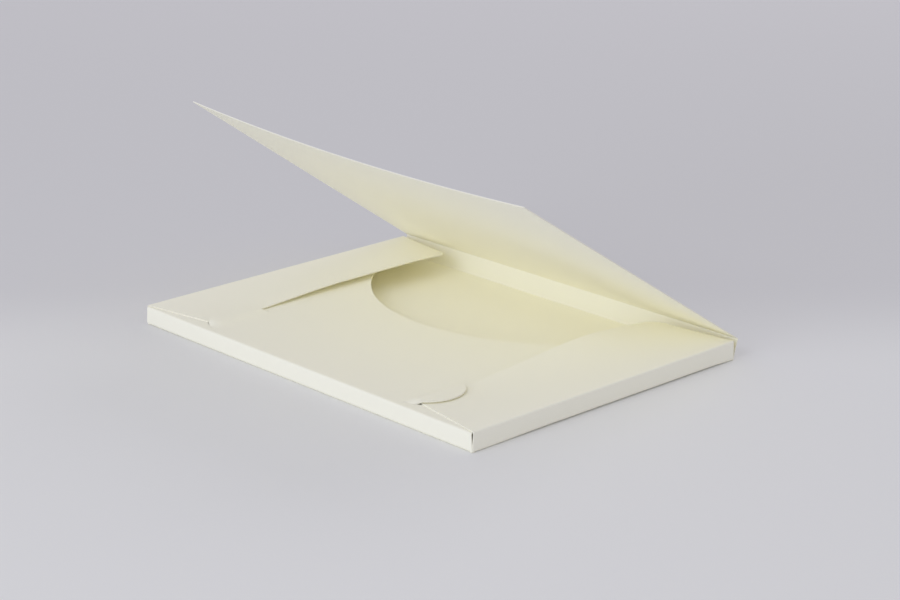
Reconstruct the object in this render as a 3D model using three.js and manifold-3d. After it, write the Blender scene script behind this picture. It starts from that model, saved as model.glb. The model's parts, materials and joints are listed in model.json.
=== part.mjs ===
// Card photo folder: a shallow tray folded from one sheet, with a back wall and a cover that folds over it.
// Millimetres, +X along the front wall, +Y towards the hinged back wall, +Z up.
// The origin is the centre of the base, on its underside.

import * as THREE from 'three';
import * as BufferGeometryUtils from 'three/addons/utils/BufferGeometryUtils.js';
import Module from 'manifold-3d';

const wasm = await Module();
wasm.setup();

// The sheet
const card = 0.4; // thickness of the card
const foldInside = 0.4; // inner radius of a creased fold
const play = 0.3; // free space between two layers that lie on each other

// The tray
const trayLength = 216; // outside, along the front wall
const trayDepth = 157; // outside, from the front wall to the back fold
const frontWallHeight = 8.6;
const cornerRelief = 0.8; // each wall stops this far short of a front corner
const cornerTaper = 0.35; // the front wall's ends lean in this much more at the top

// The inner flap, folded in from the front wall
const innerFlapSetback = 7; // the flap's far ends stop this far short of the tray's back
const innerFlapTaper = 2; // narrower on each side at the far ends of its horns
const hornRadius = 4; // rounding of the horns' outer corners
const hornWidth = 18.9; // outside of the side wall to the arc cut-out, at the flap's far ends
const archBottom = 73.8; // front wall to the deepest point of the arc
const archOffset = -2.5; // the arc's middle, from the tray's middle
const crownRise = 0.4; // the flap's middle springs up this much at the arc
const crownHalfWidth = 60; // and is flat beyond this distance from the middle

// The side flaps, folded in over the inner flap
const sideFlapWidth = 40.5;
const frontSlant = 7; // how far a side flap's front end falls back at its inner corner
const backSlant = 7; // and its back end
const flapCorner = 6; // rounding of the inner back corner
const sideWallEnd = 0.7; // the side walls stop this far short of the back fold
const liftStart = 35; // front wall to where a side flap's inner edge starts to spring up
const rightLift = { height: 4.6, fullAt: 108 }; // how high it springs, and where it gets there
const leftLift = { height: 2.3, fullAt: 62 };
const liftSlope = 0.1; // towards the back fold it stays below this slope, under the closed cover
const sharpness = 8; // of the bend between the two

// The tongues, cut from the inner flap, that hold the side flaps down
const tongueRadius = 15.5;
const tongueFromSide = 46.5; // outside of the side wall to the tongue's root
const tongueFromFront = 19.3; // outside of the front wall to the tongue's middle
const tongueRamp = 4.8; // length of the slope from the inner flap up over the side flap
const slit = 0.3; // width of the cut round a tongue

// The back wall and the cover
const backWallInset = 0.4; // its ends stop this far inside the side walls' outer faces
const backWallHeight = 9.7; // lower fold line to upper fold line
const coverInset = 0.5; // its side edges lie this far inside the side walls' outer faces
const coverLength = 157; // upper fold line to the free edge
const coverBow = 3.1; // the middle of the free edge bends towards the tray
const bowPower = 1.5; // how late along the cover the bow sets in
const coverTwist = 2.1; // the right free corner dips this much and the left one rises as much
const backWallAngle = 73; // from the floor behind the folder, degrees
const coverAngle = 146; // from the floor behind the folder, degrees
const foldGap = 0.5; // fold line to the start of the panel that turns round it

// How finely curves are faceted
const foldSteps = 4;
const arcSegments = 48;
const tongueSegments = 20;
const rampSteps = 8;
const crownSteps = 20;
const liftSteps = 24;
const coverSteps = { across: 24, along: 14 };

// What follows from those sizes
const sideWallHeight = frontWallHeight + card + play;
const tongueHeight = sideWallHeight + card + play;
const foldOutside = foldInside + card;
const frontY = -trayDepth / 2;
const sideX = trayLength / 2;
const foldLineY = trayDepth - card / 2; // from the front wall
const innerFlapDepth = trayDepth - innerFlapSetback;
const archHalfWidth = sideX - hornWidth;
const archHeight = innerFlapDepth - archBottom;
const archRadius = (archHalfWidth ** 2 + archHeight ** 2) / (2 * archHeight);
const backWallWidth = trayLength - 2 * backWallInset;
const coverWidth = trayLength - 2 * coverInset;

// Cutting tools run past the card by this much, and are split at a height between base and flaps
const overshoot = 1;
const toolTop = tongueHeight + rightLift.height + overshoot;
const toolMiddle = frontWallHeight / 2;

function smooth(t) {
	const s = THREE.MathUtils.clamp(t, 0, 1);
	return s * s * (3 - 2 * s);
}

// Solids

function toSolid(geometry) {
	const bare = geometry.clone();
	for (const name of ['normal', 'uv']) {
		if (bare.getAttribute(name)) bare.deleteAttribute(name);
	}
	const merged = BufferGeometryUtils.mergeVertices(bare, 1e-5);
	return new wasm.Manifold(new wasm.Mesh({
		numProp: 3,
		vertProperties: new Float32Array(merged.getAttribute('position').array),
		triVerts: new Uint32Array(merged.index.array),
	}));
}

function toGeometry(solid) {
	const mesh = solid.getMesh();
	const geometry = new THREE.BufferGeometry();
	geometry.setAttribute('position', new THREE.BufferAttribute(new Float32Array(mesh.vertProperties), 3));
	geometry.setIndex(new THREE.BufferAttribute(new Uint32Array(mesh.triVerts), 1));
	geometry.computeVertexNormals();
	return geometry;
}

// A solid through a row of closed outlines with the same number of points, capped at both ends
function loft(rings, capFaces) {
	const count = rings[0].length;
	const positions = rings.flat().flatMap((p) => [p.x, p.y, p.z]);
	const index = [];
	for (let i = 0; i + 1 < rings.length; i++) {
		for (let j = 0; j < count; j++) {
			const a = i * count + j;
			const b = i * count + (j + 1) % count;
			index.push(a, b, b + count, a, b + count, a + count);
		}
	}
	const last = (rings.length - 1) * count;
	for (const [a, b, c] of capFaces) index.push(a, c, b, last + a, last + b, last + c);
	const geometry = new THREE.BufferGeometry();
	geometry.setAttribute('position', new THREE.Float32BufferAttribute(positions, 3));
	geometry.setIndex(index);
	return geometry;
}

// Triangles that close an outline, in the outline's own direction
function outlineFaces(outline) {
	const faces = THREE.ShapeUtils.triangulateShape(outline, []);
	return THREE.ShapeUtils.isClockWise(outline) ? faces.map((face) => face.reverse()) : faces;
}

// Triangles that close an outline made of one line and the same line's other side back again
function ladderFaces(count) {
	const faces = [];
	for (let i = 0; i + 1 < count / 2; i++) {
		faces.push([i, i + 1, count - 2 - i], [i, count - 2 - i, count - 1 - i]);
	}
	return faces;
}

// Turns a closed geometry so that its faces point out
function orient(geometry) {
	const p = geometry.getAttribute('position');
	const index = geometry.index.array;
	const [a, b, c] = [new THREE.Vector3(), new THREE.Vector3(), new THREE.Vector3()];
	let volume = 0;
	for (let i = 0; i < index.length; i += 3) {
		a.fromBufferAttribute(p, index[i]);
		b.fromBufferAttribute(p, index[i + 1]);
		c.fromBufferAttribute(p, index[i + 2]);
		volume += a.dot(b.cross(c));
	}
	if (volume < 0) {
		for (let i = 0; i < index.length; i += 3) [index[i], index[i + 1]] = [index[i + 1], index[i]];
	}
	return geometry;
}

// A flat outline carried straight up from one height to another
function prism(shape, bottom, top, segments = arcSegments) {
	const geometry = new THREE.ExtrudeGeometry(shape, {
		depth: top - bottom, bevelEnabled: false, curveSegments: segments,
	});
	geometry.translate(0, 0, bottom);
	return toSolid(geometry);
}

// All of the space that the base and the lower half of the walls lie in
function lowerHalf() {
	const height = toolMiddle + 2 * overshoot;
	const geometry = new THREE.BoxGeometry(trayLength + 2 * overshoot, trayDepth + 2 * overshoot, height);
	geometry.translate(0, 0, height / 2 - overshoot);
	return toSolid(geometry);
}

// Section of the folded card across a wall, as points (distance in from the wall, height):
// base, fold, wall, fold, flap. The flap's free edge is raised by rise.
function foldedSection(baseReach, wallHeight, flapReach, rise, roundEnd) {
	const bend = foldInside + card / 2;
	const tilt = Math.asin(rise / (flapReach - foldOutside));
	const line = [{ u: baseReach, w: card / 2, heading: Math.PI }];
	for (let i = 0; i <= foldSteps; i++) {
		const turn = (i / foldSteps) * Math.PI / 2;
		line.push({
			u: foldOutside - bend * Math.sin(turn), w: foldOutside - bend * Math.cos(turn), heading: Math.PI - turn,
		});
	}
	for (let i = 0; i <= foldSteps; i++) {
		const turn = (i / foldSteps) * (Math.PI / 2 - tilt);
		line.push({
			u: foldOutside - bend * Math.cos(turn),
			w: wallHeight - foldOutside + bend * Math.sin(turn),
			heading: Math.PI / 2 - turn,
		});
	}
	const top = line[line.length - 1];
	const flat = flapReach - foldOutside;
	line.push({ u: top.u + flat * Math.cos(tilt), w: top.w + flat * Math.sin(tilt), heading: tilt });
	const side = (sign) => line.map(({ u, w, heading }) => new THREE.Vector2(
		u - sign * Math.sin(heading) * card / 2, w + sign * Math.cos(heading) * card / 2));
	const cap = [];
	for (let i = 1; roundEnd && i < 2 * foldSteps; i++) {
		const turn = -Math.PI / 2 + (i / foldSteps) * Math.PI / 2;
		cap.push(new THREE.Vector2(baseReach + Math.cos(turn) * card / 2, card / 2 + Math.sin(turn) * card / 2));
	}
	return [...side(1), ...side(-1).reverse(), ...cap.reverse()];
}

// The tray

function frontStrip() {
	const half = sideX - cornerRelief;
	const crown = Array.from({ length: crownSteps + 1 }, (_, i) => crownHalfWidth * (2 * i / crownSteps - 1));
	const stations = [-half, ...crown, half];
	const fullRise = crownRise * innerFlapDepth / archBottom;
	const sections = stations.map((x) => {
		const away = Math.min(Math.abs(x) / crownHalfWidth, 1);
		const rise = away < 1 ? fullRise * Math.cos(away * Math.PI / 2) ** 2 : 0;
		return foldedSection(foldLineY, frontWallHeight, innerFlapDepth, rise, true);
	});
	const rings = sections.map((section, i) => section.map(
		(p) => new THREE.Vector3(stations[i], frontY + p.x, p.y)));
	return orient(loft(rings, outlineFaces(sections[0])));
}

// Plan outline of the inner flap, y counted from the front wall
function innerFlapOutline() {
	const half = sideX - cornerRelief;
	const tip = half - innerFlapTaper;
	const archY = archBottom + archRadius;
	const end = Math.asin((innerFlapDepth - archY) / archRadius); // where the arc meets the horns' ends
	const shape = new THREE.Shape();
	shape.moveTo(-half, frontY - overshoot);
	shape.lineTo(half, frontY - overshoot);
	shape.lineTo(half, frontY + foldOutside);
	shape.lineTo(tip, frontY + innerFlapDepth - hornRadius);
	shape.quadraticCurveTo(tip, frontY + innerFlapDepth, tip - hornRadius, frontY + innerFlapDepth);
	shape.absarc(archOffset, frontY + archY, archRadius, end, -Math.PI - end, true);
	shape.lineTo(hornRadius - tip, frontY + innerFlapDepth);
	shape.quadraticCurveTo(-tip, frontY + innerFlapDepth, -tip, frontY + innerFlapDepth - hornRadius);
	shape.lineTo(-half, frontY + foldOutside);
	shape.closePath();
	return shape;
}

// Half-disc outline of a tongue, grown by extra; side is 1 for the right one and -1 for the left one
function tongueOutline(side, extra) {
	const radius = tongueRadius + extra;
	const rootX = side * (sideX - tongueFromSide);
	const middleY = frontY + tongueFromFront;
	const back = extra > 0 ? 0 : -overshoot; // the tongue itself runs on a little into the flap
	const shape = new THREE.Shape();
	shape.moveTo(rootX + side * back, middleY - side * radius);
	shape.lineTo(rootX, middleY - side * radius);
	const start = side > 0 ? -Math.PI / 2 : Math.PI / 2;
	shape.absarc(rootX, middleY, radius, start, start + Math.PI, false);
	shape.lineTo(rootX + side * back, middleY + side * radius);
	shape.closePath();
	return shape;
}

// A tongue slopes up from the inner flap and then lies flat over the side flap
function tongue(side) {
	const rootX = sideX - tongueFromSide;
	const low = frontWallHeight - card;
	const rise = tongueHeight - frontWallHeight;
	const under = [new THREE.Vector2(side * (rootX - 2 * overshoot), low)];
	for (let i = 0; i <= rampSteps; i++) {
		const t = i / rampSteps;
		under.push(new THREE.Vector2(side * (rootX + t * tongueRamp), low + rise * smooth(t)));
	}
	under.push(new THREE.Vector2(side * (rootX + tongueRadius + overshoot), low + rise));
	const outline = [...under, ...under.map((p) => new THREE.Vector2(p.x, p.y + card)).reverse()];
	const middleY = frontY + tongueFromFront;
	const rings = [-1, 1].map((end) => outline.map(
		(p) => new THREE.Vector3(p.x, middleY + end * (tongueRadius + overshoot), p.y)));
	const slope = toSolid(orient(loft(rings, ladderFaces(outline.length))));
	return slope.intersect(prism(tongueOutline(side, 0), toolMiddle, toolTop, tongueSegments));
}

// Height of a side flap's sprung inner edge at a distance y from the front wall: it rises to its
// full height and passes over smoothly to the line that the closed cover leaves it
function flapLift(y, lift) {
	const rising = lift.height * smooth((y - liftStart) / (lift.fullAt - liftStart));
	const headroom = liftSlope * (foldLineY - y);
	return rising * headroom / (rising ** sharpness + headroom ** sharpness) ** (1 / sharpness);
}

function sideStrip(side, lift) {
	const start = cornerRelief;
	const end = trayDepth - sideWallEnd;
	const sprung = Array.from({ length: liftSteps + 1 }, (_, i) => liftStart + (end - liftStart) * i / liftSteps);
	const stations = [start, ...sprung];
	const sections = stations.map((y) => foldedSection(
		sideFlapWidth, sideWallHeight, sideFlapWidth, flapLift(y, lift), false));
	const rings = sections.map((section, i) => section.map(
		(p) => new THREE.Vector3(side * (sideX - p.x), frontY + stations[i], p.y)));
	const strip = toSolid(orient(loft(rings, ladderFaces(sections[0].length))));
	return strip.intersect(lowerHalf().add(prism(sideFlapOutline(side), toolMiddle, toolTop)));
}

// Plan outline of a side flap with its wall: both ends fall back towards the inner edge
function sideFlapOutline(side) {
	const inner = side * (sideX - sideFlapWidth - overshoot);
	const wall = side * (sideX - foldOutside);
	const outer = side * (sideX + overshoot);
	const front = frontY + cornerRelief;
	const back = frontY + trayDepth - sideWallEnd;
	const corner = { x: side * (sideX - sideFlapWidth), y: back - backSlant };
	const slope = backSlant / (sideFlapWidth - foldOutside);
	const shape = new THREE.Shape();
	shape.moveTo(outer, front - overshoot);
	shape.lineTo(wall, front);
	shape.lineTo(inner, front + frontSlant);
	shape.lineTo(inner, corner.y - flapCorner);
	shape.lineTo(corner.x, corner.y - flapCorner);
	shape.quadraticCurveTo(corner.x, corner.y, corner.x + side * flapCorner, corner.y + slope * flapCorner);
	shape.lineTo(wall, back);
	shape.lineTo(outer, back + overshoot);
	shape.closePath();
	return shape;
}

function tray() {
	const cornerCut = (side) => {
		const shape = new THREE.Shape();
		const half = sideX - cornerRelief;
		shape.moveTo(side * half, foldOutside);
		shape.lineTo(side * (half - cornerTaper), frontWallHeight + overshoot);
		shape.lineTo(side * (half + overshoot), frontWallHeight + overshoot);
		shape.lineTo(side * (half + overshoot), foldOutside);
		shape.closePath();
		const geometry = new THREE.ExtrudeGeometry(shape, { depth: foldOutside + overshoot, bevelEnabled: false });
		geometry.rotateX(Math.PI / 2);
		geometry.translate(0, frontY + foldOutside, 0);
		return toSolid(geometry);
	};
	let solid = toSolid(frontStrip()).intersect(lowerHalf().add(prism(innerFlapOutline(), toolMiddle, toolTop)));
	for (const side of [-1, 1]) {
		solid = solid.subtract(cornerCut(side));
		solid = solid.subtract(prism(tongueOutline(side, slit), toolMiddle, toolTop, tongueSegments));
		solid = solid.add(tongue(side));
		solid = solid.add(sideStrip(side, side > 0 ? rightLift : leftLift));
	}
	return toGeometry(solid);
}

// The back wall, in its own frame: fold line along X, panel running along +Y, round upper edge
function backWall() {
	const shape = new THREE.Shape();
	shape.moveTo(foldGap, -card / 2);
	shape.lineTo(backWallHeight, -card / 2);
	shape.absarc(backWallHeight, 0, card / 2, -Math.PI / 2, Math.PI / 2, false);
	shape.lineTo(foldGap, card / 2);
	shape.closePath();
	const geometry = new THREE.ExtrudeGeometry(shape, {
		depth: backWallWidth, bevelEnabled: false, curveSegments: 2 * foldSteps,
	});
	geometry.rotateY(Math.PI / 2);
	geometry.rotateX(Math.PI / 2);
	geometry.translate(-backWallWidth / 2, 0, 0);
	return geometry;
}

// How far the cover's middle surface leaves its flat plane, towards the tray
function coverShape(x, s) {
	const across = x / (coverWidth / 2);
	const along = s / coverLength;
	const bow = coverBow * (1 - across * across) * along ** bowPower;
	return bow + coverTwist * across * along;
}

// The cover, in its own frame: fold line along X, panel running along +Y, inner side up
function cover() {
	const rings = [];
	for (let j = 0; j <= coverSteps.along; j++) {
		const s = foldGap + (coverLength - foldGap) * j / coverSteps.along;
		const edge = Array.from({ length: coverSteps.across + 1 },
			(_, i) => coverWidth * (i / coverSteps.across - 0.5));
		const face = (offset) => edge.map((x) => new THREE.Vector3(x, s, coverShape(x, s) + offset));
		rings.push([...face(card / 2), ...face(-card / 2).reverse()]);
	}
	return orient(loft(rings, ladderFaces(rings[0].length)));
}

// The assembly

const cream = new THREE.Color(0.9, 0.87, 0.78);

function cardMaterial() {
	return new THREE.MeshStandardMaterial({ color: cream.clone(), roughness: 0.85, metalness: 0 });
}

const folder = new THREE.Group();

const trayMesh = new THREE.Mesh(tray(), cardMaterial());
trayMesh.name = 'tray';
folder.add(trayMesh);

const backGroup = new THREE.Group(); // turns about the lower fold line
backGroup.position.set(0, frontY + foldLineY, card / 2);
backGroup.rotation.x = THREE.MathUtils.degToRad(backWallAngle);
folder.add(backGroup);

const backWallMesh = new THREE.Mesh(backWall(), cardMaterial());
backWallMesh.name = 'spine';
backGroup.add(backWallMesh);

const coverGroup = new THREE.Group(); // turns about the upper fold line
coverGroup.position.set(0, backWallHeight, 0);
coverGroup.rotation.x = THREE.MathUtils.degToRad(coverAngle - backWallAngle);
backGroup.add(coverGroup);

const coverMesh = new THREE.Mesh(cover(), cardMaterial());
coverMesh.name = 'cover';
coverGroup.add(coverMesh);

export default folder;
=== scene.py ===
import json
import math

import bpy
import numpy as np
from mathutils import Matrix, Vector


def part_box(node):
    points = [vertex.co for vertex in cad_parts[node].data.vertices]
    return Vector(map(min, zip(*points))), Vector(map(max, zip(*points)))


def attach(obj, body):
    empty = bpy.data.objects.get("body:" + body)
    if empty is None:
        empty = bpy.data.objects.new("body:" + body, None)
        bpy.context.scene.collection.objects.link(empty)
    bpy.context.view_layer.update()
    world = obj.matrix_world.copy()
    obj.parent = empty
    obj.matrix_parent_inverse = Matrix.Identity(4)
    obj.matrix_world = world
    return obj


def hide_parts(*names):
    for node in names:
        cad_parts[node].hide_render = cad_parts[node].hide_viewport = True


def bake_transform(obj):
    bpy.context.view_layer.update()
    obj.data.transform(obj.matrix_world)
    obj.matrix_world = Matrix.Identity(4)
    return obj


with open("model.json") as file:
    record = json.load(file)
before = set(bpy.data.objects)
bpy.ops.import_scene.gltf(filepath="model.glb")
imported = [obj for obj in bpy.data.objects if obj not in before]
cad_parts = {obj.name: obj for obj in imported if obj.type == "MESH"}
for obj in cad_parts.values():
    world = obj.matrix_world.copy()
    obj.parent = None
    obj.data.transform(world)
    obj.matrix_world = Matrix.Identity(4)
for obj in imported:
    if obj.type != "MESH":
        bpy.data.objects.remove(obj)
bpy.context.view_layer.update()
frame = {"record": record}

mm = 0.001  # the values below are millimetres and degrees
print("scene: packed model loaded")


# the camera stands where the photograph was taken from

cameraSettings = {
    "place": (760.1, -695.4, 365.0),
    "lookAt": (-38.2, 45.4, 0.0),
    "roll": -0.21,
    "lens": 98.0,
    "sensorWidth": 36.0,
    "clip": (0.01, 20.0),  # metres
}


def addCamera(s):
    data = bpy.data.cameras.new("photoCamera")
    data.lens = s["lens"]
    data.sensor_width = s["sensorWidth"]
    data.clip_start, data.clip_end = s["clip"]
    place = Vector(s["place"]) * mm
    turn = (Vector(s["lookAt"]) * mm - place).to_track_quat("-Z", "Y")
    camera = bpy.data.objects.new("photoCamera", data)
    camera.matrix_world = (Matrix.Translation(place) @ turn.to_matrix().to_4x4()
                           @ Matrix.Rotation(math.radians(s["roll"]), 4, "Z"))
    bpy.context.scene.collection.objects.link(camera)
    bpy.context.scene.camera = camera


addCamera(cameraSettings)
print("scene: camera placed")


# shader maths: a wire is one socket of one material's tree

class Wire:
    def __init__(self, tree, socket):
        self.tree = tree
        self.socket = socket

    def node(self, kind, settings, inputs, out=0):
        # a new node in the same tree: its settings first, then a value or a wire for each input
        new = self.tree.nodes.new(kind)
        for name, value in settings.items():
            setattr(new, name, value)
        for key, value in inputs.items():
            if isinstance(value, Wire):
                self.tree.links.new(value.socket, new.inputs[key])
            else:
                new.inputs[key].default_value = value
        return Wire(self.tree, new.outputs[out])

    def math(self, operation, other):
        return self.node("ShaderNodeMath", {"operation": operation}, {0: self, 1: other})

    def __add__(self, other):
        return self.math("ADD", other)

    def __mul__(self, other):
        return self.math("MULTIPLY", other)

    __radd__ = __add__
    __rmul__ = __mul__


def plug(wire, socket):
    wire.tree.links.new(wire.socket, socket)


def newMaterial(name):
    # the material, its shader, and the wire of its Object coordinates
    material = bpy.data.materials.new(name)
    material.use_nodes = True
    tree = material.node_tree
    place = Wire(tree, tree.nodes.new("ShaderNodeTexCoord").outputs["Object"])
    return material, tree.nodes["Principled BSDF"], place


def noise(place, size, **more):
    # a noise whose cells are about this many millimetres wide
    return place.node("ShaderNodeTexNoise", {}, {"Vector": place, "Scale": 1 / (size * mm), **more})


def blended(share, first, second):
    # a colour between two, each a wire or a fixed colour
    ends = [end if isinstance(end, Wire) else (*end, 1.0) for end in (first, second)]
    return share.node("ShaderNodeMix", {"data_type": "RGBA"},
                      {0: share, 6: ends[0], 7: ends[1]}, out=2)


def relief(height, depth):
    # a bump of this many millimetres
    return height.node("ShaderNodeBump", {},
                       {"Strength": 1.0, "Distance": depth * mm, "Height": height})


# the card: smooth uncoated cream board with a fine felt surface

cardLook = {
    "colour": (0.955, 0.936, 0.815),
    "paler": (0.968, 0.952, 0.848),
    "cloudSize": 38.0,  # mm, soft differences of tone
    "fibreSize": 0.55,  # mm, felt of the surface
    "fibreRoughness": 0.6,
    "grainSize": 0.16,  # mm
    "cloudTone": 0.35,  # how much each of the three moves the colour towards the paler one
    "fibreTone": 0.35,
    "grainTone": 0.2,
    "reliefDepth": 0.012,  # mm
    "grainRelief": 0.3,  # the grain's share of the relief; the rest is the fibre's
    "roughness": 0.72,
    "roughnessRange": 0.12,
    "specular": 0.35,
}

cutLook = {
    "colour": (0.90, 0.882, 0.79),
    "darker": (0.86, 0.84, 0.74),
    "fibreSize": 0.12,
    "fibreRoughness": 0.7,
    "fibreTone": 0.5,
    "reliefDepth": 0.02,
    "roughness": 0.9,
    "specular": 0.25,
}


def cardMaterial(s):
    material, shader, place = newMaterial("creamCard")
    clouds = noise(place, s["cloudSize"], Detail=2.0)
    fibre = noise(place, s["fibreSize"], Detail=3.0, Roughness=s["fibreRoughness"])
    grain = noise(place, s["grainSize"], Detail=2.0)
    tone = clouds * s["cloudTone"] + fibre * s["fibreTone"] + grain * s["grainTone"]
    height = fibre * (1 - s["grainRelief"]) + grain * s["grainRelief"]
    smoothest = s["roughness"] - s["roughnessRange"] / 2
    plug(blended(tone, s["colour"], s["paler"]), shader.inputs["Base Color"])
    plug(fibre * s["roughnessRange"] + smoothest, shader.inputs["Roughness"])
    plug(relief(height, s["reliefDepth"]), shader.inputs["Normal"])
    shader.inputs["Specular IOR Level"].default_value = s["specular"]
    return material


def cutMaterial(s):
    material, shader, place = newMaterial("cutEdgeCard")
    fibre = noise(place, s["fibreSize"], Detail=3.0, Roughness=s["fibreRoughness"])
    plug(blended(fibre * s["fibreTone"], s["colour"], s["darker"]), shader.inputs["Base Color"])
    plug(relief(fibre, s["reliefDepth"]), shader.inputs["Normal"])
    shader.inputs["Roughness"].default_value = s["roughness"]
    shader.inputs["Specular IOR Level"].default_value = s["specular"]
    return material


cardFinish = cardMaterial(cardLook)
cutFinish = cutMaterial(cutLook)
print("scene: card finishes made")


# the sheet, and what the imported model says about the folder's size, in millimetres

sheet = {
    "card": 0.5,
    "coverCard": 0.4,
    "foldRadius": 0.6,  # of the card's middle surface
    "footRadius": 1.25,  # the same, where the walls rise from the base
    "foldSteps": 8,
    "depth": 157.0,  # front wall to the back fold
    "cornerRelief": 0.3,  # each wall's end from a front corner, at the base
    "sharpAngle": 38.0,  # the shading breaks at edges sharper than this
}

trayLow, trayHigh = (np.array(corner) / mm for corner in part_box("tray"))
halfLength = float(trayHigh[0])
frontY = float(trayLow[1])
foldLines = {joint["name"]: np.array(joint["pos_m"]) / mm
             for joint in frame["record"]["behaviour"]["joints"]}
lowerFold = foldLines["spine_fold"][1:]
upperFold = foldLines["cover_fold"][1:]

bend = sheet["foldRadius"]
half = sheet["card"] / 2
depth = sheet["depth"]
foldLineY = depth - half
wallStart = bend + half  # a wall's upper fold begins this far inside the outer face
footStart = sheet["footRadius"] + half  # and its lower fold
wallEnd = halfLength - sheet["cornerRelief"]  # the front wall's end, from the middle


def smooth(t):
    t = np.clip(t, 0.0, 1.0)
    return t * t * (3 - 2 * t)


def stretch(a, b, count):
    # rows of an even grid between two lines of points
    t = np.linspace(0, 1, count + 1)[:, None]
    return a[None, :] * (1 - t) + b[None, :] * t


def folded(points, radii, steps):
    # a polyline in a plane whose corners are replaced by arcs: the arc meets each leg at
    # radius times the tangent of half the turn from the corner
    points = np.asarray(points, float)
    out = [points[0]]
    for before, corner, after, radius in zip(points[:-2], points[1:-1], points[2:], radii):
        a = (corner - before) / np.linalg.norm(corner - before)
        b = (after - corner) / np.linalg.norm(after - corner)
        turn = math.acos(np.clip(a @ b, -1, 1))
        side = np.sign(a[0] * b[1] - a[1] * b[0])
        reach = radius * math.tan(turn / 2)
        normal = side * np.array([-a[1], a[0]])
        centre = corner - reach * a + radius * normal
        angle = np.linspace(0, turn, steps + 1)[:, None]
        out.extend(centre + radius * (np.sin(angle) * a - np.cos(angle) * normal))
    out.append(points[-1])
    return np.array(out)


def weld(patches, tolerance=2e-4):
    # each patch is a grid of points, rows by columns by 3; equal points of different patches
    # become one vertex. A face that lost one side is a triangle, one that lost more is dropped.
    # Gives the vertices, the faces' corners in one row, and where each face starts in it
    points = np.concatenate([p.reshape(-1, 3) for p in patches])
    key = np.round(points / tolerance).astype(np.int64)
    _, first, back = np.unique(key, axis=0, return_index=True, return_inverse=True)
    quads = []
    offset = 0
    for p in patches:
        rows, cols = p.shape[:2]
        i = offset + np.arange(rows * cols).reshape(rows, cols)
        quads.append(np.stack([i[:-1, :-1], i[1:, :-1], i[1:, 1:], i[:-1, 1:]], -1).reshape(-1, 4))
        offset += rows * cols
    quads = back.reshape(-1)[np.concatenate(quads)]
    repeated = quads == np.roll(quads, 1, axis=1)
    sides = 4 - repeated.sum(1)
    whole = (sides > 2) & (quads[:, 0] != quads[:, 2]) & (quads[:, 1] != quads[:, 3])
    corners = quads[whole][~repeated[whole]]
    starts = np.cumsum(sides[whole]) - sides[whole]
    return points[first], corners, starts


def cardPiece(name, body, patches, thickness):
    # the welded middle surface gets the card's thickness, half to either side
    points, corners, starts = weld(patches)
    mesh = bpy.data.meshes.new(name)
    mesh.vertices.add(len(points))
    mesh.vertices.foreach_set("co", (points * mm).ravel())
    mesh.loops.add(len(corners))
    mesh.loops.foreach_set("vertex_index", corners)
    mesh.polygons.add(len(starts))
    mesh.polygons.foreach_set("loop_start", starts)
    mesh.update(calc_edges=True)
    mesh.validate()
    mesh.materials.append(cardFinish)
    mesh.materials.append(cutFinish)
    piece = bpy.data.objects.new(name, mesh)
    bpy.context.scene.collection.objects.link(piece)
    bpy.context.view_layer.objects.active = piece
    bpy.ops.object.select_all(action="DESELECT")
    piece.select_set(True)
    bpy.ops.object.mode_set(mode="EDIT")
    bpy.ops.mesh.select_all(action="SELECT")
    bpy.ops.mesh.normals_make_consistent(inside=False)
    bpy.ops.object.mode_set(mode="OBJECT")
    solid = piece.modifiers.new("thickness", "SOLIDIFY")
    solid.thickness = thickness * mm
    solid.offset = 0.0
    solid.use_rim = True
    solid.material_offset_rim = 1
    bpy.ops.object.modifier_apply(modifier=solid.name)
    mesh = piece.data
    mesh.polygons.foreach_set("use_smooth", [True] * len(mesh.polygons))
    mesh.set_sharp_from_angle(angle=math.radians(sheet["sharpAngle"]))
    if body:
        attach(piece, body)
    print("scene:", name, len(mesh.polygons), "faces")
    return piece


# the tray: base, walls, inner flap with its tongues, and side flaps, one sheet

tray = {
    "frontWallHeight": 8.6,
    "sideWallHeight": 9.2,
    "sideWallEnd": 0.45,  # the side walls stop this far short of the back fold
    "wallTaper": 0.55,  # the walls' ends lean away from a front corner at the top
    "cornerFade": 20.0,  # along a side wall, that lean dies out over this length
    "footRise": 0.4,  # the side walls' feet stand this much off the floor
    "riseWidth": 45.0,  # the base comes up to them over this width
    "riseFront": 45.0,  # and they come up over these lengths from the corners
    "riseBack": 14.0,
    "innerFlapDepth": 150.0,
    "flapTaper": 1.6,  # the inner flap narrows on each side towards its far ends
    "archRadius": 88.6,
    "archBottom": 73.9,  # front wall to the deepest point of the arc
    "archOffset": -3.8,  # the arc's middle, from the tray's middle
    "hornRadius": 4.0,  # rounding of the horns' outer corners, along the flap's side
    "hornCorner": 6.0,  # and along its far edge
    "crownRise": 0.4,  # the flap's middle springs up this much at the arc
    "crownHalfWidth": 60.0,
    "sideFlapWidth": 40.5,
    "frontSlant": 7.0,
    "backSlant": 7.0,
    "flapCorner": 6.0,
    "settle": 0.2,  # in front of the lift the side flap sinks by this on to the inner flap
    "settleFade": 25.0,
    "lift": {  # the spring of the right and the left flap: height, and where it starts and is full
        1: {"height": 4.8, "start": 30.0, "full": 112.0},
        -1: {"height": 2.5, "start": 22.0, "full": 84.0},
    },
    "liftCurl": 0.2,  # how much of the lift curls up towards the flap's inner edge
    "liftSlope": 0.1,  # the closed cover leaves this slope and this height free
    "liftSpare": 0.35,
    "liftBend": 8.0,  # sharpness of the turn between the two
    "tongueHeight": 9.85,
    "tongueRadius": 15.5,
    "tongueFromSide": 46.5,
    "tongueFromFront": 19.3,
    "tongueRamp": 5.5,
    "tongueWake": 2.6,  # it starts to rise this far in front of the side flap's front edge
    "tongueSpring": 0.3,  # the tongue's tip stands this much off the side flap
    "slit": 0.16,
    "slitStart": 2.0,  # the slit opens over this length from the root
}

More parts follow.
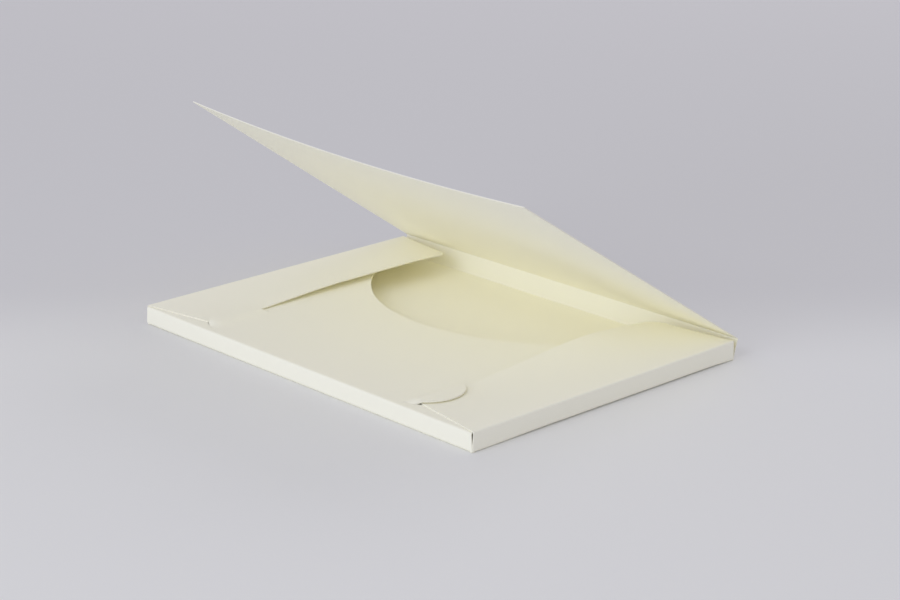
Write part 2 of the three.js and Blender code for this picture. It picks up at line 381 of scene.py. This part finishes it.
trayGrid = {  # how many faces each stretch of the tray has
    "middle": 48,
    "disc": 12,
    "arc": 8,
    "horn": 4,
    "hornCorner": 6,
    "beforeTongue": 5,
    "besideTongue": 14,
    "behindTongue": 26,
    "sideWall": 60,
    "sideFlap": 17,
    "flapCorner": 8,
}

quarterTurn = math.pi / 2


def trayColumns(t):
    # distances from the middle: those over a tongue are even round its half-disc, those over
    # the arc even round the arc, and those of a horn's rounding even round a quarter circle
    root = halfLength - t["tongueFromSide"]
    swing = np.linspace(0, quarterTurn, trayGrid["disc"] + 1)
    disc = root + t["tongueRadius"] * np.sin(swing)
    middle = root * np.linspace(-1, 1, trayGrid["middle"] + 1)
    radius = t["archRadius"]
    hornStart = math.sqrt(radius ** 2 - (t["innerFlapDepth"] - t["archBottom"] - radius) ** 2)
    cornerStart = wallEnd - t["hornCorner"]
    outer = {}
    for way in (1, -1):
        centre = way * t["archOffset"]
        swing = np.linspace(math.asin((disc[-1] - centre) / radius),
                            math.asin(hornStart / radius), trayGrid["arc"] + 1)
        arc = centre + radius * np.sin(swing)
        horn = np.linspace(arc[-1], cornerStart, trayGrid["horn"] + 1)[1:]
        swing = np.linspace(0, quarterTurn, trayGrid["hornCorner"] + 1)[1:]
        corner = cornerStart + t["hornCorner"] * np.sin(swing)
        outer[way] = np.sort(np.concatenate([arc, horn, corner, [halfLength - footStart]]))
    return middle, disc, outer


def trayRows(t):
    # distances from the front, even from the corner to the side wall's end
    rows = np.linspace(sheet["cornerRelief"], depth - t["sideWallEnd"], trayGrid["sideWall"] + 1)
    return np.sort(np.append(rows, footStart))


def outward(x, t):
    # share of the way from a tongue's tip to the front wall's end
    tip = halfLength - t["tongueFromSide"] + t["tongueRadius"]
    return np.clip((np.abs(x) - tip) / (wallEnd - tip), 0, 1)


def archLine(x, t):
    # the inner flap's far edge: a circle through the arc's deepest point, then the horn's end,
    # which falls off by a quarter circle at its outer corner
    centre = t["archBottom"] + t["archRadius"]
    across = x - t["archOffset"]
    arc = centre - np.sqrt(np.maximum(t["archRadius"] ** 2 - across ** 2, 0))
    over = np.clip((np.abs(x) - wallEnd + t["hornCorner"]) / t["hornCorner"], 0, 1)
    return np.minimum(arc, t["innerFlapDepth"] - t["hornRadius"] * (1 - np.sqrt(1 - over ** 2)))


def crown(x, y, t):
    # the flap springs up in its middle: the rise grows with the distance from the front fold
    # and falls to nothing as a squared cosine towards the side flaps
    across = np.cos(np.clip(np.abs(x) / t["crownHalfWidth"], 0, 1) * quarterTurn) ** 2
    return t["crownRise"] * across * np.maximum(y - wallStart, 0) / (t["archBottom"] - wallStart)


def onFlap(x, y, t):
    # a point of the inner flap, from its flat place: the taper, which grows outward and towards
    # the far end, then the crown
    pull = (t["wallTaper"] + t["flapTaper"] * y / t["innerFlapDepth"]) * outward(x, t)
    z = t["frontWallHeight"] - half + crown(x, y, t)
    return np.stack([x - np.sign(x) * pull, frontY + y, z], -1)


def flapFront(across, t):
    # a side flap's front edge: it falls back evenly from the wall to the flap's inner edge
    share = np.clip((across - wallStart) / (t["sideFlapWidth"] - wallStart), 0, 1)
    return sheet["cornerRelief"] + t["wallTaper"] + t["frontSlant"] * share


def tonguePatch(side, disc, t):
    # the half-disc inside its slit, each column from end to end of its chord. It climbs from the
    # inner flap over the side flap by a smooth ramp that grows with the distance from the root,
    # only behind the side flap's front edge, and towards the tip it springs off the side flap
    radius, centre = t["tongueRadius"], t["tongueFromFront"]
    out = disc - disc[0]
    inset = radius - t["slit"] * smooth(out / t["slitStart"])
    reach = np.sqrt(np.maximum(inset ** 2 - (out * inset / radius) ** 2, 0))
    y = stretch(centre - reach, centre + reach, trayGrid["besideTongue"])
    x = np.broadcast_to(disc - t["slit"] * out / radius, y.shape)
    behind = smooth((y - flapFront(halfLength - x, t) + t["tongueWake"]) / t["tongueWake"])
    climb = (t["tongueHeight"] - t["frontWallHeight"]) * smooth(out / t["tongueRamp"])
    spring = t["tongueSpring"] * smooth(out / radius)
    z = t["frontWallHeight"] - half + (climb + spring) * behind
    return np.stack([side * x, frontY + y, z], -1)


def innerFlapPatches(t):
    # each column runs evenly from the front fold to the far edge, in bands before, beside and
    # behind the tongues; where a half-disc is cut out, the bands stop at its chord's ends
    middle, disc, outer = trayColumns(t)
    radius, centre = t["tongueRadius"], t["tongueFromFront"]

    def band(x, near, far, count):
        y = stretch(near + 0 * x, far + 0 * x, trayGrid[count])
        return onFlap(np.broadcast_to(x, y.shape), y, t)

    patches = [band(middle, wallStart, centre - radius, "beforeTongue"),
               band(middle, centre - radius, centre + radius, "besideTongue"),
               band(middle, centre + radius, archLine(middle, t), "behindTongue")]
    chord = np.sqrt(np.maximum(radius ** 2 - (disc - disc[0]) ** 2, 0))
    for side in (1, -1):
        for x, gap in ((side * disc, chord), (side * outer[side], 0)):
            patches.append(band(x, wallStart, centre - gap, "beforeTongue"))
            patches.append(band(x, centre + gap, archLine(x, t), "behindTongue"))
        patches.append(tonguePatch(side, disc, t))
    return patches


def footRise(y, t):
    # height of the side walls' feet over the floor: full along the middle of each wall and
    # smoothly down to nothing at its two ends
    end = depth - t["sideWallEnd"]
    ends = smooth((y - footStart) / t["riseFront"]) * smooth((end - y) / t["riseBack"])
    return t["footRise"] * ends


def wallSection(height):
    # a wall seen from its end, as distance from the outer face and height: round the lower
    # fold from the base, up, and round the upper fold to where the flap begins
    inside = 2 * footStart
    corners = [(inside, half), (half, half), (half, height), (inside, height)]
    return folded(corners, [sheet["footRadius"], bend], sheet["foldSteps"])[1:-1]


def baseAndFrontWallPatches(t):
    # the base is a plate over all columns and rows, which rises smoothly to the side walls' feet.
    # The front wall is its section carried along the columns, with ends that lean in at the top
    middle, disc, outer = trayColumns(t)
    columns = np.unique(np.round(np.concatenate([-outer[-1], -disc, middle, disc, outer[1]]), 9))
    rows = trayRows(t)
    tiny = 1e-6
    x, y = np.meshgrid(columns[np.abs(columns) < halfLength - footStart + tiny],
                       rows[rows > footStart - tiny])
    towardsWall = smooth((np.abs(x) - halfLength + footStart + t["riseWidth"]) / t["riseWidth"])
    base = np.stack([x, frontY + y, half + footRise(y, t) * towardsWall], -1)
    section = wallSection(t["frontWallHeight"] - half)
    lean = t["wallTaper"] * smooth(section[:, 1:] / t["frontWallHeight"])
    x = columns - np.sign(columns) * outward(columns, t) * lean
    y, z = (np.broadcast_to(section[:, i:i + 1], x.shape) for i in (0, 1))
    return [base, np.stack([x, frontY + y, z], -1)]


def flapLift(y, side, t):
    # a smooth step up to the full height, passing over to a straight line that falls to the back
    # fold; the lower of the two by a power mean, and below nought in front of the step
    lift, power = t["lift"][side], t["liftBend"]
    rising = lift["height"] * smooth((y - lift["start"]) / (lift["full"] - lift["start"]))
    free = t["liftSpare"] + t["liftSlope"] * (foldLineY - y)
    lower = rising * free / (rising ** power + free ** power) ** (1 / power)
    return lower - t["settle"] * (1 - smooth((y - lift["start"]) / t["settleFade"]))


def sideWallPatches(t, side):
    # the wall is its section carried along the rows: near the front corner its top leans back,
    # and its foot follows the rise of the base
    rows = trayRows(t)
    height = t["sideWallHeight"] - half
    section = wallSection(height)
    lean = t["wallTaper"] * np.clip(1 - (rows - rows[0]) / t["cornerFade"], 0, 1)
    y, inside = np.meshgrid(rows, section[:, 0])
    z = np.broadcast_to(section[:, 1:], y.shape)
    up = np.clip((z - half) / (height - half), 0, 1)
    wall = np.stack([side * (halfLength - inside), frontY + y + lean * smooth(z / height),
                     z + footRise(y, t) * (1 - up)], -1)
    # the flap: every column runs evenly from its slanted front end to its slanted and rounded
    # back end, and its height is the lift times a curve that grows from the fold inwards
    width, corner = t["sideFlapWidth"], t["flapCorner"]
    swing = np.linspace(0, quarterTurn, trayGrid["flapCorner"] + 1)
    across = np.concatenate([np.linspace(wallStart, width - corner, trayGrid["sideFlap"] + 1)[:-1],
                             width - corner + corner * np.sin(swing)])[:, None]
    share = (across - wallStart) / (width - wallStart)
    past = np.maximum(across - width + corner, 0)
    rounding = corner - np.sqrt(np.maximum(corner ** 2 - past ** 2, 0))
    start = rows[0] + t["frontSlant"] * share
    end = rows[-1] - t["backSlant"] * share - rounding
    along = (rows - rows[0]) / (rows[-1] - rows[0])
    y = start * (1 - along) + end * along + lean
    curl = (1 - t["liftCurl"]) * share + t["liftCurl"] * share ** 2
    x = np.broadcast_to(side * (halfLength - across), y.shape)
    return [wall, np.stack([x, frontY + y, height + flapLift(y, side, t) * curl], -1)]


def makeTray(t):
    patches = baseAndFrontWallPatches(t) + innerFlapPatches(t)
    for side in (1, -1):
        patches += sideWallPatches(t, side)
    piece = cardPiece("cardTray", "tray", patches, sheet["card"])
    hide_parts("tray")


makeTray(tray)


# the back wall and the cover: the sheet runs on from the base over two folds

cover = {
    "length": 157.0,
    "angle": 146.0,  # from the floor behind the folder
    "backWallAngle": 73.0,  # the same
    "backWallHalfWidth": 107.6,
    "halfWidth": 107.5,
    "widthFade": 6.0,  # from the one to the other
    "bow": 3.1,  # the middle of the free edge bends this much towards the tray
    "bowPower": 1.5,  # how late along the cover the bow sets in
    "twist": 2.1,
    "seam": 0.5,  # share of the back wall where its two halves meet
    "foldMargin": 1.15,  # a fold's reach past its arc is stretched by this factor; the reach is worked out but not used
    "foldSteps": 10,
    "across": 72,  # faces
    "along": 89,
}

backWallUp = (upperFold - lowerFold) / np.linalg.norm(upperFold - lowerFold)


def foldReach(turn, c):
    # from a fold line along either panel to the end of its arc, and a little further
    return bend * math.tan(math.radians(turn / 2)) * c["foldMargin"]


def acrossSheet(path, halfWidth, c):
    # a profile in the plane of Y and Z, carried from side to side at its own width in each place
    x = halfWidth[:, None] * np.linspace(-1, 1, c["across"] + 1)
    return x, np.broadcast_to(path[:, None, :], (*x.shape, 2))


def makeLowerFold(c, seam):
    # from the base's back edge round the fold and up to the seam in the back wall; the width
    # passes smoothly with the height from the base's to the back wall's
    baseEnd = np.array([frontY + depth - tray["sideWallEnd"], half])
    path = folded([baseEnd, lowerFold, seam], [bend], c["foldSteps"])
    share = smooth((path[:, 1] - half) / (seam[1] - half))
    x, plane = acrossSheet(path, wallEnd + share * (c["backWallHalfWidth"] - wallEnd), c)
    grid = np.concatenate([x[..., None], plane], -1)
    lower = cardPiece("lowerFold", None, [grid], sheet["card"])
    reach = foldReach(c["backWallAngle"], c)
    ahead = lowerFold + backWallUp * reach
    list(ahead * mm)
    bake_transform(lower)
    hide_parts("spine")


def coverShape(x, s, c):
    # how far the cover leaves its flat plane, towards the tray: a parabola across that grows
    # along the cover, and a twist that dips the right free corner and lifts the left one
    across = x / c["halfWidth"]
    along = np.clip(s / c["length"], 0, 1)
    return c["bow"] * (1 - across ** 2) * along ** c["bowPower"] + c["twist"] * across * along


def makeCover(c, seam):
    # from the seam round the upper fold and along the cover, then out of its plane by the
    # cover's shape; s is the distance from the upper fold line along the cover
    angle = math.radians(c["angle"])
    out = np.array([math.cos(angle), math.sin(angle)])
    inward = np.array([-out[1], out[0]])
    bent = folded([seam, upperFold, upperFold + out * c["length"]], [bend], c["foldSteps"])
    rest = upperFold + out * np.linspace(bend, c["length"], c["along"] + 1)[1:, None]
    path = np.concatenate([bent[:-1], rest])
    s = (path - upperFold) @ out
    change = (c["halfWidth"] - c["backWallHalfWidth"]) * smooth(s / c["widthFade"])
    x, plane = acrossSheet(path, c["backWallHalfWidth"] + change, c)
    off = coverShape(x, np.maximum(s, 0)[:, None], c)
    grid = np.concatenate([x[..., None], plane + off[..., None] * inward], -1)
    upper = cardPiece("coverPanel", None, [grid], sheet["coverCard"])
    reach = foldReach(c["angle"] - c["backWallAngle"], c)
    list((upperFold - backWallUp * reach) * mm)
    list((upperFold + out * reach) * mm)
    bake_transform(upper)
    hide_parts("cover")


seam = lowerFold + (upperFold - lowerFold) * cover["seam"]
makeLowerFold(cover, seam)
makeCover(cover, seam)


# the setting: a pale floor painted with the shade and light of a sweep, and three soft lamps

floorLook = {
    "near": (0.822, 0.824, 0.833),
    # painted shade: a darker band of floor just behind the folder
    "behind": (0.705, 0.703, 0.724),
    # painted light: paler far off, where the floor is seen as the backdrop
    "far": (0.915, 0.893, 0.943),
    "stops": (-40, 90, 2600),  # mm behind the folder's middle, seen from the camera
    "roughness": 0.9,
    "specular": 0.1,
    "halfSize": 6.0,  # metres
}


def makeFloor(s):
    # one large square, whose tone passes from one colour to the next by two smooth steps along the
    # floor's own fixed direction away from the place of the camera; the steps are painted shade and
    # painted light of the setting, not the floor's own colour
    size = s["halfSize"]
    corners = [(-size, -size, 0), (size, -size, 0), (size, size, 0), (-size, size, 0)]
    mesh = bpy.data.meshes.new("floor")
    mesh.from_pydata(corners, [], [(0, 1, 2, 3)])
    floor = bpy.data.objects.new("floor", mesh)
    bpy.context.scene.collection.objects.link(floor)
    material, shader, place = newMaterial("floorPaperPaintedShade")
    ahead = Vector(cameraSettings["lookAt"]) - Vector(cameraSettings["place"])
    ahead.z = 0
    ahead.normalize()
    distance = place.node("ShaderNodeVectorMath", {"operation": "DOT_PRODUCT"},
                          {0: place, 1: ahead}, out=1)

    def passed(start, end):
        return distance.node("ShaderNodeMapRange", {"interpolation_type": "SMOOTHSTEP"},
                             {"Value": distance, "From Min": start * mm, "From Max": end * mm})

    low, middle, high = s["stops"]
    tone = blended(passed(low, middle), s["near"], s["behind"])
    plug(blended(passed(middle, high), tone, s["far"]), shader.inputs["Base Color"])
    shader.inputs["Roughness"].default_value = s["roughness"]
    shader.inputs["Specular IOR Level"].default_value = s["specular"]
    mesh.materials.append(material)


worldLook = {
    "colour": (1.0, 0.985, 1.035),
    "strength": 0.57,
}

lamps = {  # metres and watts
    "low": {
        "place": (0.36, -2.16, 0.34),
        "size": (1.6, 0.5),
        "power": 7.7,
        "colour": (0.86, 0.955, 1.05),
    },
    "high": {
        "place": (0.1, -1.75, 1.2),
        "size": (1.4, 0.9),
        "power": 8.2,
        "colour": (0.96, 0.985, 1.01),
    },
    "back": {
        "place": (-0.3, 2.2, 1.5),
        "size": (1.8, 1.2),
        "power": 8.0,
        "colour": (1.0, 0.985, 0.97),
    },
}


def addLamp(name, place, size, power, colour):
    # a soft rectangle turned towards the folder
    data = bpy.data.lights.new(name, "AREA")
    data.shape = "RECTANGLE"
    data.size, data.size_y = size
    data.energy = power
    data.color = colour
    lamp = bpy.data.objects.new(name, data)
    turn = (-Vector(place)).to_track_quat("-Z", "Y")
    lamp.matrix_world = Matrix.Translation(Vector(place)) @ turn.to_matrix().to_4x4()
    bpy.context.scene.collection.objects.link(lamp)


def lightWorld(s):
    world = bpy.data.worlds.new("studio")
    world.use_nodes = True
    background = world.node_tree.nodes["Background"]
    background.inputs["Color"].default_value = (*s["colour"], 1.0)
    background.inputs["Strength"].default_value = s["strength"]
    bpy.context.scene.world = world


makeFloor(floorLook)
lightWorld(worldLook)
for name, lamp in lamps.items():
    addLamp(name, **lamp)
bpy.context.scene.view_settings.view_transform = "Standard"
bpy.context.scene.cycles.max_bounces = 24
bpy.context.scene.cycles.diffuse_bounces = 16  # light between pale leaves of card turns warm
print("scene: floor and lamps set")
